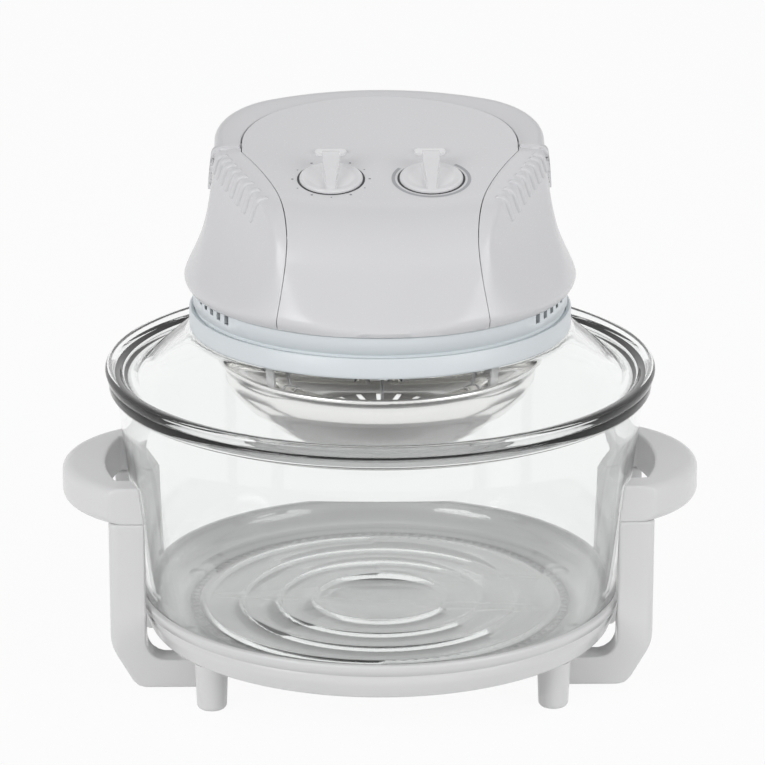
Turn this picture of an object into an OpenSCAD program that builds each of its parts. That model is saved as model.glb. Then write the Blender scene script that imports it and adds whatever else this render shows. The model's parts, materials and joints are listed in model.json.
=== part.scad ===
// Halogen oven: a glass bowl on a footed tray with side handles, and a glass lid that carries the
// heating and fan head. Origin on the table under the centre of the bowl, front towards -Y, +Z up.

/* [Tray and feet] */
// Height of the tray's underside above the table
foot_h = 29; // [25:0.5:34]
// Diameter of a foot where it meets the tray
foot_d = 20; // [16:0.5:24]
// Distance between the left and right feet
foot_span_x = 210; // [196:1:220]
// Distance between the front and rear feet
foot_span_y = 154; // [146:1:166]
// Height of the tray from its underside to its rim
tray_h = 23; // [20:0.5:26]
// Thickness of the tray's floor
tray_floor = 3; // [2.5:0.1:4]
// Thickness of the tray's rim
tray_wall = 2.9; // [2.5:0.1:3.6]

/* [Glass bowl] */
// Outside diameter of the bowl's flange
bowl_d = 326; // [316:1:336]
// Height of the bowl from its base to the top of its flange
bowl_h = 149; // [135:1:165]
// Thickness of the bowl's glass
bowl_wall = 4.5; // [3.8:0.1:5.5]
// Width that the flange stands out from the wall
bowl_flange_w = 4.2; // [3:0.1:6]
// Thickness of the flange
bowl_flange_t = 7; // [5:0.5:9]
// Lean of the bowl's wall from the vertical, in degrees
bowl_lean = 6.75; // [5:0.25:8]
// Outside radius of the corner between wall and base
bowl_corner = 18; // [15:0.5:21]

/* [Side handles] */
// Overall width over the two side handles
handles_w = 384; // [380:1:400]
// Thickness of a hand grip from top to bottom
grip_h = 23; // [18:0.5:28]
// Height of the top of the grips above the table
grip_top = 130; // [120:1:140]
// Width of a grip's bar at its middle
grip_bar = 26; // [22:0.5:30]
// Distance over the front and rear brackets
bracket_span = 116; // [108:1:124]
// Depth of a bracket from front to back
bracket_t = 18; // [15:0.5:20]
// Height of a bracket's leg under the tray
leg_h = 17.5; // [15:0.5:20]

/* [Glass lid] */
// Outside diameter of the lid's flange
lid_d = 330; // [320:1:340]
// Thickness of the lid's flange
lid_flange_t = 7; // [6:0.5:8]
// Thickness of the lid's glass
lid_wall = 5; // [4:0.25:5.5]
// Rise of the glass from the flange to the seat of the head
lid_rise = 27.2; // [25:0.2:30]
// Diameter of the hole in the lid
lid_hole_d = 198; // [195:0.5:201]

/* [Head] */
// Outside diameter of the trim ring round the foot of the head
collar_d = 227.2; // [225:0.2:229]
// Largest diameter of the head's covers
head_d = 229.4; // [228:0.2:232]
// Height of the top face above the trim ring at the middle of the head
head_h = 93.3; // [90:0.5:97]
// Tilt of the top face towards the user, in degrees
top_tilt = 13; // [11:0.5:15]
// Thickness of the plastic covers
cover_t = 2.5; // [2:0.1:3]
// Width of the seam between two covers
seam = 0.5; // [0.4:0.05:0.8]
// Number of vent slots in each group
vents = 5; // [3:1:6]
// Number of ribs on each shoulder
ribs = 8; // [6:1:8]

/* [Safety handle] */
// Width over the sides of the safety handle
bail_w = 190.8; // [188:0.4:192]
// Width of the handle's bar
bail_bar = 15.5; // [14:0.5:17]
// Thickness of the handle's bar
bail_t = 14; // [12:0.5:15]
// Diameter of a pivot pin
pin_d = 6; // [5:0.5:7]

/* [Knobs] */
// Diameter of a knob's disc
knob_d = 37.2; // [34:0.2:39]
// Distance between the two knobs
knob_span = 58.6; // [56:0.2:62]
// Height of a knob's grip above the top face
knob_h = 13.5; // [11:0.5:17]
// Diameter of a control shaft
control_shaft_d = 6; // [5:0.5:7]

/* [Heater and fan] */
// Diameter of the halogen lamp's ring at the middle of its tube
lamp_ring_d = 124; // [112:1:130]
// Diameter of the lamp's quartz tube
lamp_d = 9; // [7:0.5:10]
// Diameter of the hot air fan
hot_fan_d = 88; // [80:1:94]
// Diameter of the motor's cooling fan
cool_fan_d = 76; // [60:1:80]
// Number of blades on each fan
blades = 8; // [6:1:10]
// Diameter of the motor shaft
shaft_d = 6; // [5:0.5:6.5]
// Diameter over the rolled rim of the heater guard
guard_d = 189.6; // [186:0.2:191]
// Depth of the heater guard
guard_depth = 42.6; // [38:0.5:44]

/* [Hidden] */
$fn = 96;

// Clearances
seat_gap = 0.3;
shaft_gap = 0.05;
bowl_gap = 0.8;
hand_gap = 1.5;
far = 400;

// Heights of the stand and the bowl
tray_z = foot_h;
tray_top = tray_z + tray_h;
bowl_z = tray_z + tray_floor + 3;
bowl_top = bowl_z + bowl_h;
bowl_r = bowl_d / 2;
corner_z = bowl_z + bowl_corner;

function bowl_r_at(z) = bowl_r - bowl_flange_w - (bowl_top - bowl_flange_t - z) * tan(bowl_lean);
function tray_r_at(z) = bowl_r_at(tray_top) + bowl_gap + 0.5 + tray_wall - (tray_top - z) * 0.3;
corner_x = bowl_r_at(corner_z) - bowl_corner;
tray_r = tray_r_at(tray_top);

// Points of an arc round (x, z)
function arc(x, z, r, from, to, steps = 6) =
    [for (i = [0:steps]) let (a = from + (to - from) * i / steps) [x + r * cos(a), z + r * sin(a)]];

// Rectangle with round corners, made of squares and circles
module soft_rect(x0, x1, y0, y1, r) {
    translate([x0 + r, y0]) square([x1 - x0 - 2 * r, y1 - y0]);
    translate([x0, y0 + r]) square([x1 - x0, y1 - y0 - 2 * r]);
    for (x = [x0 + r, x1 - r], y = [y0 + r, y1 - r]) translate([x, y]) circle(r);
}

module ring(r_in, r_out, z0, z1) {
    rotate_extrude() translate([r_in, z0]) square([r_out - r_in, z1 - z0]);
}

// Tray and feet
boss_x = foot_span_x / 2 + 9;
boss_y = bracket_span / 2 - bracket_t / 2;
screw_r = 1.7;
tray_seat_r = [corner_x - 16, corner_x - 10];

module tray_profile() {
    floor_z = tray_z + tray_floor;
    groove_z = tray_top - 7.6;
    inner_r = bowl_corner + bowl_gap;
    polygon(concat(
        [[0, floor_z], [0, tray_z], [tray_r_at(tray_z) - 5, tray_z]],
        arc(tray_r_at(tray_z) - 3, tray_z + 3, 3, -80, -20, 3),
        [[tray_r_at(groove_z - 1), groove_z - 1], [tray_r_at(groove_z) - 0.9, groove_z - 0.5],
         [tray_r_at(groove_z) - 0.9, groove_z + 0.4], [tray_r_at(groove_z + 1) + 0.4, groove_z + 1],
         [tray_r, tray_top - 1.2]],
        arc(tray_r - 1.2, tray_top - 1.2, 1.2, 20, 90, 3),
        [[tray_r - tray_wall, tray_top]],
        arc(corner_x, corner_z, inner_r, -3, -78, 8),
        [[corner_x - 2, floor_z]]
    ));
}

module base_tray() {
    color("white") difference() {
        union() {
            rotate_extrude() tray_profile();
            ring(tray_seat_r[0], tray_seat_r[1], tray_z + tray_floor - 0.5, bowl_z);
            for (x = [-boss_x, boss_x], y = [-boss_y, boss_y])
                translate([x, y, tray_z]) cylinder(r = 5, h = bowl_z - tray_z - 0.4);
            for (x = [-1, 1], y = [-1, 1]) translate([x * foot_span_x / 2, y * foot_span_y / 2, tray_z])
                cylinder(r = 5, h = bowl_z - tray_z - 0.4);
        }
        for (x = [-boss_x, boss_x], y = [-boss_y, boss_y])
            translate([x, y, tray_z - 1]) cylinder(r = screw_r + shaft_gap, h = 5.4);
        for (x = [-1, 1], y = [-1, 1]) translate([x * foot_span_x / 2, y * foot_span_y / 2, tray_z - 1])
            cylinder(r = screw_r + shaft_gap, h = 5.4);
    }
}

module foot() {
    round_r = 3;
    r_low = foot_d / 2 - 1;
    difference() {
        rotate_extrude() polygon(concat(
            [[0, 0], [r_low - round_r, 0]],
            arc(r_low - round_r, round_r, round_r, -75, 0, 5),
            [[foot_d / 2, tray_z], [0, tray_z]]
        ));
        translate([0, 0, -1]) cylinder(r = 3.7, h = 16);
        cylinder(r = screw_r + 0.3, h = tray_z + 1);
    }
}

module feet() {
    color("white") for (x = [-1, 1], y = [-1, 1])
        translate([x * foot_span_x / 2, y * foot_span_y / 2, 0]) foot();
}

module screw(length, head_r) {
    cylinder(r = screw_r, h = length);
    difference() {
        translate([0, 0, -2]) cylinder(r = head_r, h = 2);
        for (a = [0, 90]) rotate(a) translate([-head_r * 0.6, -0.4, -2.5]) cube([head_r * 1.2, 0.8, 1.5]);
    }
}

module foot_screws() {
    color("silver") for (x = [-1, 1], y = [-1, 1])
        translate([x * foot_span_x / 2, y * foot_span_y / 2, 15]) screw(tray_z + 4 - 15, 3.5);
}

// Brackets and hand grips
leg_z = 3.5;
bracket_x = tray_r + 14.3;
pillar_w = 21.5;
pillar_x = bracket_x - pillar_w;
leg_end = boss_x - 16;
grip_z = grip_top - grip_h;
tenon_h = 8;
inner_fillet = 12;

// Space kept free round the tray and the bowl
module bowl_space(gap) {
    rotate_extrude() polygon([
        [0, tray_z], [tray_r_at(tray_z) + gap, tray_z], [tray_r + gap, tray_top - 2],
        [tray_r + gap, tray_top + 2], [bowl_r_at(tray_top + 2) + gap, tray_top + 3],
        [bowl_r_at(grip_top + 20) + gap, grip_top + 20], [0, grip_top + 20]
    ]);
}

module bracket_outline() {
    difference() {
        polygon([
            [leg_end, leg_z], [bracket_x - 21, leg_z], [bracket_x - 16.5, leg_z + 1.2],
            [bracket_x - 13, leg_z + 4.8], [bracket_x - 2.2, leg_z + 23.6], [bracket_x - 0.5, leg_z + 28],
            [bracket_x, leg_z + 33], [bracket_x, grip_z], [pillar_x, grip_z],
            [pillar_x, leg_z + leg_h + inner_fillet], [pillar_x - inner_fillet, leg_z + leg_h + inner_fillet],
            [pillar_x - inner_fillet, leg_z + leg_h], [leg_end, leg_z + leg_h]
        ]);
        translate([pillar_x - inner_fillet, leg_z + leg_h + inner_fillet]) circle(inner_fillet);
    }
}

module tenon(gap) {
    translate([bracket_x - 15 - gap, bracket_span / 2 - bracket_t + 4 - gap, grip_z - 1])
        cube([10 + 2 * gap, bracket_t - 8 + 2 * gap, tenon_h + 1 + gap]);
}

module bracket(side, end) {
    scale([side, end, 1]) difference() {
        union() {
            intersection() {
                translate([0, bracket_span / 2, 0]) rotate([90, 0, 0]) linear_extrude(bracket_t) bracket_outline();
                linear_extrude(far) soft_rect(leg_end, bracket_x, bracket_span / 2 - bracket_t, bracket_span / 2, 5);
            }
            translate([boss_x, boss_y, leg_z + leg_h - 1]) cylinder(r = 7, h = tray_z - leg_z - leg_h + 1);
            tenon(0);
        }
        bowl_space(hand_gap);
        translate([boss_x, boss_y, 0]) cylinder(r = 4.4, h = 12);
        translate([boss_x, boss_y, 0]) cylinder(r = screw_r + 0.3, h = tray_z + 1);
    }
}

module front_left_bracket() { color("white") bracket(-1, -1); }
module rear_left_bracket() { color("white") bracket(-1, 1); }
module front_right_bracket() { color("white") bracket(1, -1); }
module rear_right_bracket() { color("white") bracket(1, 1); }

module bracket_screws() {
    color("silver") for (x = [-boss_x, boss_x], y = [-boss_y, boss_y])
        translate([x, y, 12]) screw(tray_z + 4 - 12, 3.8);
}

grip_round = 72;
grip_edge = 6;
gap_round = 118;

module grip() {
    end_x = handles_w / 2 - grip_round;
    difference() {
        intersection() {
            union() {
                translate([end_x, 0, 0]) rotate_extrude() union() {
                    translate([0, grip_z]) square([grip_round - grip_edge, grip_h]);
                    translate([0, grip_z + grip_edge]) square([grip_round, grip_h - 2 * grip_edge]);
                    for (z = [grip_z + grip_edge, grip_top - grip_edge])
                        translate([grip_round - grip_edge, z]) circle(grip_edge);
                }
            }
            translate([pillar_x - 6, -bracket_span / 2, 0]) cube([far, bracket_span, far]);
        }
        intersection() {
            translate([handles_w / 2 - grip_bar - gap_round, 0, 0]) cylinder(r = gap_round, h = far);
            linear_extrude(far) soft_rect(0, far, -bracket_span / 2 + bracket_t - 2, bracket_span / 2 - bracket_t + 2, 8);
        }
        bowl_space(hand_gap);
        for (end = [-1, 1]) scale([1, end, 1]) tenon(0.15);
    }
}

module left_grip() { color("white") mirror([1, 0, 0]) grip(); }
module right_grip() { color("white") grip(); }

// Glass bowl
ring_ridges = [40, 62, 84, 106];

module glass_bowl() {
    lip = 2.2;
    flange_z = bowl_top - bowl_flange_t;
    floor_z = bowl_z + 5;
    inner_corner = bowl_corner - bowl_wall;
    color([0.8, 0.85, 0.85, 0.35]) union() {
        rotate_extrude() polygon(concat(
            [[0, floor_z], [0, bowl_z]],
            arc(corner_x, corner_z, bowl_corner, -90, -7, 8),
            [[bowl_r_at(flange_z - 2), flange_z - 2], [bowl_r_at(flange_z) + 0.8, flange_z - 0.4]],
            arc(bowl_r - lip, flange_z + lip, lip, -90, 0, 4),
            arc(bowl_r - lip, bowl_top - lip, lip, 0, 90, 4),
            [[bowl_r_at(bowl_top) - bowl_wall + 1, bowl_top], [bowl_r_at(bowl_top) - bowl_wall, bowl_top - 1]],
            arc(corner_x - 0.3, floor_z + inner_corner, inner_corner, -7, -90, 8)
        ));
        for (r = ring_ridges) rotate_extrude() translate([r, floor_z - 0.6]) circle(1.8);
    }
}

// Glass lid
lid_r = lid_d / 2;
lid_z = bowl_top;
lid_top = lid_z + lid_flange_t;
hole_r = lid_hole_d / 2;
ledge_z = lid_top + lid_rise;
valley_r = bowl_r_at(bowl_top) - bowl_wall - 1;
dome_x = valley_r - 5.5;
dome_z = lid_top - 7.4;
ledge_x = hole_r + 9.1;

module glass_lid() {
    lip = 2.6;
    under = lid_wall * 0.76;
    color([0.8, 0.85, 0.85, 0.35]) rotate_extrude() polygon(concat(
        arc(lid_r - lip, lid_z + 1.8, 1.8, -90, 0, 3),
        arc(lid_r - lip, lid_top - lip, lip, 0, 90, 4),
        [[valley_r + 4.2, lid_top - 0.7], [valley_r + 1.5, lid_top - 3.2], [valley_r - 2.2, dome_z - 0.1],
         [dome_x, dome_z + 0.2], [dome_x - 3, dome_z + 2.4],
         [ledge_x + 1.2, ledge_z - 1], [ledge_x, ledge_z], [hole_r, ledge_z], [hole_r, ledge_z - 4.2],
         [ledge_x - 3, ledge_z - 4.2], [dome_x - under - 1.5, dome_z - under + 0.6],
         [dome_x - 1.4, dome_z - under - 1.6], [valley_r - 1.2, dome_z - under - 1.8],
         [valley_r - 0.2, dome_z - under], [valley_r, lid_z - 0.2], [valley_r + 0.6, lid_z]]
    ));
}

// Seat of the head on the glass
gasket_t = 1.1;
collar_r = collar_d / 2;
collar_z = ledge_z + gasket_t;
collar_top = collar_z + 7.7;
base_z = collar_z + 3 + seat_gap;
base_top = base_z + 16.6;
base_r = collar_r - 2.4;
floor_t = 2.5;
floor_top = base_z + floor_t;

module lid_gasket() {
    color([0.75, 0.75, 0.73]) ring(hole_r + 1.5, ledge_x - 1.2, ledge_z, collar_z);
}

module trim_ring() {
    slope = (ledge_z - dome_z) / (dome_x - ledge_x);
    lip_z = ledge_z - (collar_r - 0.6 - ledge_x) * slope;
    color("aliceblue") rotate_extrude() polygon([
        [hole_r + 1.3, collar_z + 3], [hole_r + 1.3, collar_z], [collar_r - 3, collar_z],
        [collar_r - 2.2, collar_z - 3.1], [collar_r - 0.6, lip_z + 0.9], [collar_r, lip_z + 1.9],
        [collar_r, collar_top - 0.8], [collar_r - 0.7, collar_top], [collar_r - 2.7, collar_top],
        [collar_r - 2.7, collar_z + 3]
    ]);
}

// Vent slots grow towards the front, the rear ones mirror them
vent_first = 18;
vent_step = 4.4;
vent_w = 4.2;

module vent_cuts() {
    for (side = [0, 1], end = [0, 1], i = [0:vents - 1]) {
        high = 2.6 + i * 0.85;
        mirror([side, 0, 0]) mirror([0, end, 0]) rotate(-vent_first - i * vent_step)
            translate([base_r - 8, -vent_w / 2, base_top - high]) cube([16, vent_w, high + 1]);
    }
}

screw_ring_r = hole_r - 2.5;
screw_count = 6;

module head_base() {
    wall = 2.7;
    color("aliceblue") difference() {
        union() {
            rotate_extrude() polygon([
                [9, base_z], [base_r - 1, base_z], [base_r - 1, collar_top - 0.2], [base_r - 2, collar_top + 0.3],
                [base_r - 2, collar_top + 1.6], [base_r, collar_top + 2.4], [base_r, base_top - 0.6],
                [base_r - 0.6, base_top], [base_r - wall, base_top], [base_r - wall, floor_top], [9, floor_top]
            ]);
            for (i = [0:screw_count - 1]) rotate(i * 360 / screw_count + 30)
                translate([screw_ring_r, 0, base_z]) cylinder(r = 4, h = 9);
        }
        vent_cuts();
        for (i = [0:screw_count - 1]) rotate(i * 360 / screw_count + 30)
            translate([screw_ring_r, 0, base_z - 1]) cylinder(r = screw_r + shaft_gap, h = 9);
    }
}

reflector_z = ledge_z - 4.2 - seat_gap;
reflector_top = base_z - 1.5;

module insulation_pad() {
    color([0.85, 0.83, 0.78]) ring(12, hole_r - 21, reflector_top + 0.1, base_z - 0.2);
}

module reflector() {
    sheet = 1;
    rim = hole_r - 4;
    deck = hole_r - 19;
    color("silver") difference() {
        rotate_extrude() polygon([
            [9, reflector_top - sheet], [deck - 1, reflector_top - sheet], [rim - 1.6, reflector_z - sheet],
            [hole_r + 5, reflector_z - sheet], [hole_r + 5, reflector_z], [rim - 1, reflector_z],
            [deck, reflector_top], [9, reflector_top]
        ]);
        for (i = [0:screw_count - 1]) rotate(i * 360 / screw_count + 30)
            translate([screw_ring_r, 0, reflector_z - 3]) cylinder(r = screw_r + 0.2, h = 6);
    }
}

module head_screws() {
    color("silver") for (i = [0:screw_count - 1]) rotate(i * 360 / screw_count + 30)
        translate([screw_ring_r, 0, reflector_z - 1]) screw(base_z + 7 - reflector_z, 3);
}

// Heater guard, lamp and hot air fan
guard_z = reflector_z - 20.7;
guard_r = guard_d / 2;
guard_floor = guard_z - guard_depth;

module heater_guard() {
    t = 1;
    bowl = [[guard_r - 1.6, 0], [guard_r - 2, 0.26], [guard_r - 5.4, 0.42], [guard_r - 13, 0.62],
            [guard_r - 25, 0.83], [guard_r - 36, 0.96], [guard_r - 44, 1]];
    outer = [for (p = bowl) [p[0], guard_z - p[1] * guard_depth]];
    inner = [for (i = [len(bowl) - 1:-1:0])
        [bowl[i][0] - (i < len(bowl) - 1 ? t : 0), guard_z - bowl[i][1] * guard_depth + (i > 1 ? t : 0)]];
    slot_r = guard_r - 46;
    color("silver") difference() {
        union() {
            rotate_extrude() polygon(concat([[0, guard_floor]], [for (i = [len(outer) - 1:-1:0]) outer[i]],
                [for (i = [len(inner) - 1:-1:0]) inner[i]], [[0, guard_floor + t]]));
            rotate_extrude() translate([guard_r - 1.6, guard_z]) circle(1.6);
        }
        for (i = [0:23]) rotate(i * 15) translate([slot_r - 20, -1.6, guard_floor - 1]) cube([20, 3.2, 4]);
        for (i = [0:11]) rotate(i * 30) translate([slot_r - 35, -1.6, guard_floor - 1]) cube([11, 3.2, 4]);
        translate([0, 0, guard_floor - 1]) cylinder(r = 5, h = 4);
    }
}

module guard_posts() {
    post_w = 6;
    color("white") for (a = [45:90:315]) rotate(a) {
        translate([guard_r - 4.6, -post_w / 2, guard_z - 8]) cube([1.4, post_w, reflector_z - guard_z + 6.7]);
        translate([guard_r - 4.6, -post_w / 2, reflector_z - 2.4]) cube([9.5, post_w, 1.2]);
    }
}

lamp_z = guard_z - 14;
lamp_r = lamp_ring_d / 2;
lamp_open = 9;
holder_h = 16;
holder_z = reflector_top - 1 - holder_h - 0.2;

module halogen_lamp() {
    color([1, 0.95, 0.85]) union() {
        rotate(90 + lamp_open) rotate_extrude(angle = 360 - 2 * lamp_open) translate([lamp_r, 0, 0])
            translate([0, lamp_z]) circle(lamp_d / 2);
        for (s = [-1, 1]) rotate(90 + s * lamp_open) translate([lamp_r, 0, lamp_z]) {
            sphere(lamp_d / 2);
            cylinder(r = lamp_d / 2, h = holder_z + 4 - lamp_z);
        }
    }
}

module lamp_holders() {
    color("ivory") for (s = [-1, 1]) rotate(90 + s * lamp_open) translate([lamp_r, 0, 0]) difference() {
        translate([-9, -7.5, holder_z]) cube([18, 15, holder_h]);
        translate([0, 0, holder_z - 1]) cylinder(r = lamp_d / 2 + shaft_gap, h = 5.3);
    }
}

module lamp_clips() {
    wire = 0.9;
    color("silver") for (a = [-30, 210, 270]) rotate(a) {
        translate([lamp_r, 0, lamp_z]) rotate([90, 0, 0]) rotate_extrude()
            translate([lamp_d / 2 + wire + 0.2, 0]) circle(wire);
        translate([lamp_r, 0, lamp_z + lamp_d / 2 + wire + 0.4])
            cylinder(r = wire, h = reflector_top - 1.2 - lamp_z - lamp_d / 2 - wire - 0.4);
    }
}

shaft_r = shaft_d / 2;
hot_fan_z = reflector_top - 17;
motor_z = floor_top + 9;
core_h = 18;
core_z = motor_z + 4.4;
bracket_z = core_z + core_h + 2.4;
cool_fan_z = bracket_z + 6;
shaft_top = cool_fan_z + 12;

module fan(r, z, hub_r, h, pitch) {
    translate([0, 0, z]) difference() {
        union() {
            cylinder(r = hub_r, h = h);
            cylinder(r = r * 0.55, h = 1.2);
            for (i = [0:blades - 1]) rotate(i * 360 / blades)
                translate([hub_r - 1, 0, h / 2]) rotate([pitch, 0, 0]) translate([0, -h * 0.55, -0.5])
                    cube([r - hub_r + 1, h * 1.1, 1]);
        }
        translate([0, 0, -h]) cylinder(r = shaft_r + 0.02, h = 3 * h);
    }
}

module motor_shaft() {
    color("silver") union() {
        translate([0, 0, hot_fan_z - 2]) cylinder(r = shaft_r, h = shaft_top - hot_fan_z + 2);
        translate([0, 0, core_z]) cylinder(r = 12.7, h = core_h);
    }
}

module hot_fan() { color("silver") fan(hot_fan_d / 2, hot_fan_z, 8, 10, 55); }
module cooling_fan() { color("gray") fan(cool_fan_d / 2, cool_fan_z, 7, 8, 50); }

// Motor on the floor of the head
core_x = 30;
core_y = 24;

module motor_frame() {
    color("silver") difference() {
        union() {
            translate([-core_x, -core_y, motor_z]) cube([2 * core_x, 2 * core_y, 2]);
            for (x = [-core_x + 5, core_x - 5], y = [-core_y + 5, core_y - 5])
                translate([x, y, floor_top]) cylinder(r = 4, h = core_z - 0.2 - floor_top);
        }
        translate([0, 0, motor_z - 1]) cylinder(r = 8, h = 4);
    }
}

module motor_core() {
    color("dimgray") difference() {
        translate([-core_x + 2, -core_y + 2, core_z]) cube([2 * core_x - 4, 2 * core_y - 4, core_h]);
        translate([0, 0, core_z - 1]) cylinder(r = 13.1, h = core_h + 2);
        translate([-12, core_y - 13, core_z - 1]) cube([24, 6, core_h + 2]);
    }
}

module motor_coil() {
    color("chocolate") difference() {
        translate([-10.5, core_y - 10.6, core_z - 1.6]) cube([21, 15, core_h + 3.2]);
        translate([-11.5, core_y - 7.2, core_z - 0.2]) cube([23, 5.4, core_h + 0.4]);
    }
}

module motor_top_bracket() {
    color("silver") difference() {
        union() {
            translate([-core_x + 2, -8, bracket_z]) cube([2 * core_x - 4, 16, 2]);
            translate([0, 0, bracket_z]) cylinder(r = 11, h = 5);
            for (x = [-core_x + 7, core_x - 7]) translate([x, 0, core_z + core_h + 0.2])
                cylinder(r = 3.5, h = bracket_z - core_z - core_h);
        }
        translate([0, 0, bracket_z - 1]) cylinder(r = 8, h = 7);
    }
}

module motor_bearings() {
    color("darkgoldenrod") for (z = [motor_z - 2.5, bracket_z - 0.1]) translate([0, 0, z]) difference() {
        cylinder(r = 8 - 0.02, h = 4.6);
        translate([0, 0, -1]) cylinder(r = shaft_r + shaft_gap, h = 7);
    }
}

module terminal_block() {
    color("ivory") difference() {
        translate([-20, 62, floor_top + 0.1]) cube([40, 16, 14]);
        for (x = [-13, 0, 13]) translate([x, 0, floor_top + 7]) rotate([-90, 0, 0]) cylinder(r = 2, h = far / 2);
        for (x = [-13, 0, 13]) translate([x, 70, floor_top + 9]) cylinder(r = 2.4, h = 10);
    }
}

module thermal_cutout() {
    color("ivory") translate([-56, -30, floor_top + 0.1]) union() {
        cylinder(r = 8, h = 9);
        translate([-12, -4, 0]) cube([24, 8, 1.5]);
        for (x = [-4, 4]) translate([x - 0.4, -2, 8]) cube([0.8, 4, 8]);
    }
}

// Form of the head: a flared bell, cut by the tilted top, a flatter front and a flatter back
head_r = head_d / 2;
cover_z = base_top + seat_gap;
top_z = collar_z + head_h + 7.7;
bulge_z = cover_z + 7;
neck_r = head_r - 18.2;
flare_w = 16.7;
flare_z = 25.5;

function bell_r_at(z) = neck_r + 0.02 * (top_z - z) + flare_w * exp(-pow((z - bulge_z) / flare_z, 2));
function top_z_at(y) = top_z + y * tan(top_tilt);

// The tilted frame has its origin on the top face, h is the height above that face
module on_top() { translate([0, 0, top_z]) rotate([top_tilt, 0, 0]) children(); }

module bell(inset) {
    rotate_extrude() polygon(concat(
        [[0, cover_z], [base_r + 0.4 - inset, cover_z], [base_r + 2 - inset, cover_z + 2],
         [head_r - 0.3 - inset, cover_z + 4.4]],
        [for (z = [bulge_z:6:top_z + 30]) [bell_r_at(z) - inset, z]],
        [[0, top_z + 27]]
    ));
}

// Top face with a round shoulder, flaring out below it
module shoulder(inset) {
    r = 10;
    edge = neck_r + 0.4;
    on_top() rotate_extrude() polygon(concat(
        [[0, -far / 3], [edge + 110, -far / 3], [edge + 45 - inset, -60], [edge + 2 - inset, -16]],
        arc(edge - r - inset, -r - inset, r, 0, 90, 6),
        [[0, -inset]]
    ));
}

front_axis = 113;
front_roll = 46;
front_lean = 20;
front_y = -83.5;

// Flatter front, rolling over into the top face
module front(inset) {
    turn = 90 - front_lean - top_tilt;
    reach = front_roll * tan(turn / 2);
    corner = [front_y, top_z_at(front_y)];
    start = [corner[0] + reach * cos(top_tilt), corner[1] + reach * sin(top_tilt)];
    hub = [start[0] + front_roll * sin(top_tilt), start[1] - front_roll * cos(top_tilt)];
    face = arc(hub[0], hub[1], front_roll, 90 + top_tilt, 180 - front_lean, 8);
    last = face[len(face) - 1];
    path = concat([[40, start[1] + 60]], face, [[last[0] - 5, last[1] - 9], [last[0] - 13.5, last[1] - 20],
        [last[0] - 25, cover_z - 1]]);
    translate([0, front_axis, 0]) rotate_extrude() polygon(concat(
        [for (p = path) [front_axis - p[0] - inset, p[1] - inset * cos(45)]],
        [[0, cover_z - 2], [0, start[1] + 60]]
    ));
}

back_axis = 98;
back_y = 80;

// Flatter back, leaning in from the ring to the handle
module back(inset) {
    translate([0, -back_axis, 0]) rotate_extrude() polygon([
        [0, cover_z - 2], [back_axis + back_y + 40 - inset, cover_z - 2], [back_axis + back_y + 27 - inset, bulge_z + 10],
        [back_axis + back_y + 16 - inset, bulge_z + 28], [back_axis + back_y + 7.5 - inset, bulge_z + 48],
        [back_axis + back_y + 2 - inset, bulge_z + 68], [back_axis + back_y - 2 - inset, bulge_z + 98],
        [back_axis + back_y - 3 - inset, top_z + 60], [0, top_z + 60]
    ]);
}

module head_form(inset) {
    intersection() {
        bell(inset);
        shoulder(inset);
        front(inset);
        back(inset);
    }
}

// Outline of the control cover in the tilted frame: the inside of the handle behind the pivots,
// then a waist on the front face
bail_r = bail_w / 2;
bail_corner = 48;
bail_back_r = 180;
bail_reach = 81.8;
corner_cx = bail_r - bail_corner;
back_cy = bail_reach - bail_back_r;
corner_cy = back_cy + sqrt(pow(bail_back_r - bail_corner, 2) - pow(corner_cx, 2));
corner_turn = atan2(corner_cy - back_cy, corner_cx);
waist_s = -86;
waist_w = 52.7;
waist_foot = 5.9;

function cover_w(s) = s > waist_s
    ? waist_w + (bail_r - bail_bar - waist_w) * pow((s - waist_s) / -waist_s, 1.5)
    : waist_w + waist_foot * pow((waist_s - s) / 25, 1.5);

module cover_outline(grow) {
    half = concat(
        [for (s = [-144:8:0]) [cover_w(s) + grow, s]],
        arc(corner_cx, corner_cy, bail_corner - bail_bar + grow, 0, corner_turn, 8),
        arc(0, back_cy, bail_back_r - bail_bar + grow, corner_turn, 90, 5)
    );
    polygon(concat(half, [for (i = [len(half) - 1:-1:0]) [-half[i][0], half[i][1]]]));
}

module cover_block(grow) {
    on_top() translate([0, 0, -150]) linear_extrude(200) cover_outline(grow);
}

// Pivot of the safety handle in the tilted frame
pivot_s = 12.5;
pivot_h = -4.5;
hub_r = bail_t - 4.5;
skirt_t = 2.2;
skirt_h = bail_t + 4;
knob_s = -34.8;
knob_x = knob_span / 2;
knob_r = knob_d / 2;
lens_s = 3;

module lens_outline(grow) {
    for (x = [-5.6, 5.6]) translate([x, 0]) circle(2.7 + grow);
    translate([0, 0.4]) square([11, 4.2 + 2 * grow], center = true);
}

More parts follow.
